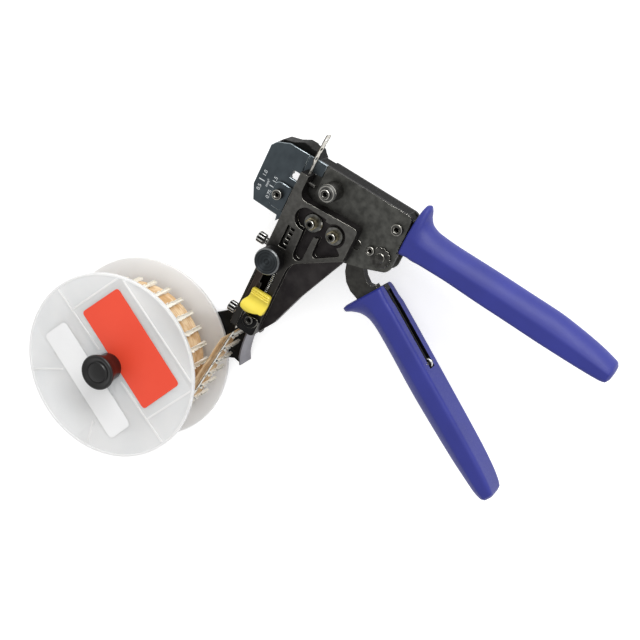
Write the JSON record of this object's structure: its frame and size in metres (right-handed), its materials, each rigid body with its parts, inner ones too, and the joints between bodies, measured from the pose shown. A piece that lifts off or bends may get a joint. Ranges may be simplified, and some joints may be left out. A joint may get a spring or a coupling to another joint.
{
  "type": "hand crimp tool",
  "caption": "Plier-type hand crimp tool with a strip feeder that pulls reeled terminals from a paper-interleaved reel on a rear arm, in its open pose.",
  "frame": {"origin": "main bolt axis at the rear face of the bolt head", "axes": "+X runs along the body from the head towards the grips, +Z is the marked front of the tool, +Y points to the top edge of the body"},
  "size_m": [0.2756, 0.2191, 0.058],
  "materials": {
    "burnished_steel": "satin burnished black",
    "dark_steel": "satin burnished black",
    "marked_cover": "satin blue-black",
    "zinc_steel": "zinc plated, a little yellow",
    "spring_steel": "bare",
    "grip_plastic": "fine grain blue violet",
    "yellow_plastic": "moulded",
    "reel_plastic": "translucent white",
    "paper": "kraft paper",
    "tinned_strip": "bright tinned strip",
    "wound_strip": "bright tinned strip",
    "black_plastic": "moulded black",
    "turned_steel": "turned, dark oiled",
    "brown_steel": "browned steel bar"
  },
  "bodies": {
    "frame": {"head_frame": "dark_steel", "front_cheek": "burnished_steel", "rear_cheek": "burnished_steel", "head_cover": "marked_cover", "bridge_cover": "marked_cover", "locator_tab": "dark_steel", "locator_screw": "zinc_steel", "anvil_die": "zinc_steel", "main_bolt": "burnished_steel", "main_bolt_screw": "zinc_steel", "cheek_screws": "zinc_steel", "cheek_nuts": "zinc_steel", "adjusting_dial": "burnished_steel", "eccentric_pin": "zinc_steel", "dial_lock_screw": "zinc_steel", "handle_pin": "zinc_steel", "upper_grip": "grip_plastic", "feeder_bracket": "burnished_steel", "rail_back": "dark_steel", "window_leaf": "zinc_steel", "feeder_screws": "zinc_steel", "feeder_washers": "zinc_steel", "stop_pin": "zinc_steel", "guide_block": "dark_steel", "block_screw": "dark_steel", "reel_arm": "dark_steel", "strip_guide": "burnished_steel", "arm_screws": "zinc_steel", "reel_spindle": "zinc_steel", "terminal_strip": "tinned_strip", "paper_tape": "paper", "feed_spring": "spring_steel"},
    "handle": {"handle_lever": "burnished_steel", "lower_grip": "grip_plastic", "return_spring": "spring_steel", "spring_pin": "zinc_steel", "crank_pin": "zinc_steel"},
    "ram_block": {"ram": "burnished_steel", "ram_die": "zinc_steel"},
    "pawl_arm": {"pawl": "zinc_steel"},
    "reel": {"reel_front_flange": "reel_plastic", "reel_rear_flange": "reel_plastic", "reel_hub": "reel_plastic", "wound_paper": "paper", "wound_terminals": "wound_strip"},
    "spindle_knob": {"reel_knob": "black_plastic"},
    "feed_slide": {"thumb_slide": "yellow_plastic", "slide_bar": "brown_steel"},
    "clamp": {"clamp_knob": "turned_steel"},
    "upper_screw": {"upper_thumb_screw": "zinc_steel"},
    "lower_screw": {"lower_thumb_screw": "zinc_steel"}
  },
  "joints": [
    {"name": "handle_hinge", "type": "hinge", "parent": "frame", "child": "handle", "pos_m": [0.022, -0.0182, 0.0095], "axis": [0, 0, 1], "range_deg": [0, 24], "stiffness_Nm_per_rad": 1.5, "springref_deg": -11.46},
    {"name": "ram_slide", "type": "slide", "parent": "frame", "child": "ram_block", "axis": [-1, 0, 0], "range_m": [0, 0.006]},
    {"name": "pawl_hinge", "type": "hinge", "parent": "frame", "child": "pawl_arm", "pos_m": [0.0371, -0.0002, 0.0095], "axis": [0, 0, 1], "range_deg": [0, 10], "stiffness_Nm_per_rad": 0.02, "springref_deg": -5.73},
    {"name": "reel_spin", "type": "hinge", "parent": "frame", "child": "reel", "pos_m": [-0.0639, -0.1447, 0.0095], "axis": [0, 0, 1], "continuous": true},
    {"name": "reel_knob_turn", "type": "hinge", "parent": "frame", "child": "spindle_knob", "pos_m": [-0.0639, -0.1447, 0.0395], "axis": [0, 0, 1], "continuous": true},
    {"name": "feed_slide_travel", "type": "slide", "parent": "frame", "child": "feed_slide", "axis": [0, 1, 0], "range_m": [0, 0.009], "stiffness_N_per_m": 120, "springref_m": -0.004, "deforming": ["feed_spring"]},
    {"name": "clamp_knob_turn", "type": "hinge", "parent": "frame", "child": "clamp", "pos_m": [-0.0105, -0.0444, 0.0275], "axis": [0, 0, 1], "continuous": true},
    {"name": "upper_screw_turn", "type": "hinge", "parent": "frame", "child": "upper_screw", "pos_m": [-0.023, -0.0416, 0.0175], "axis": [1, 0, 0], "continuous": true},
    {"name": "lower_screw_turn", "type": "hinge", "parent": "frame", "child": "lower_screw", "pos_m": [-0.023, -0.0828, 0.0175], "axis": [1, 0, 0], "continuous": true}
  ],
  "couplings": [
    {"joint": "ram_slide", "follows": "handle_hinge", "m_per_rad": 0.0143}
  ]
}
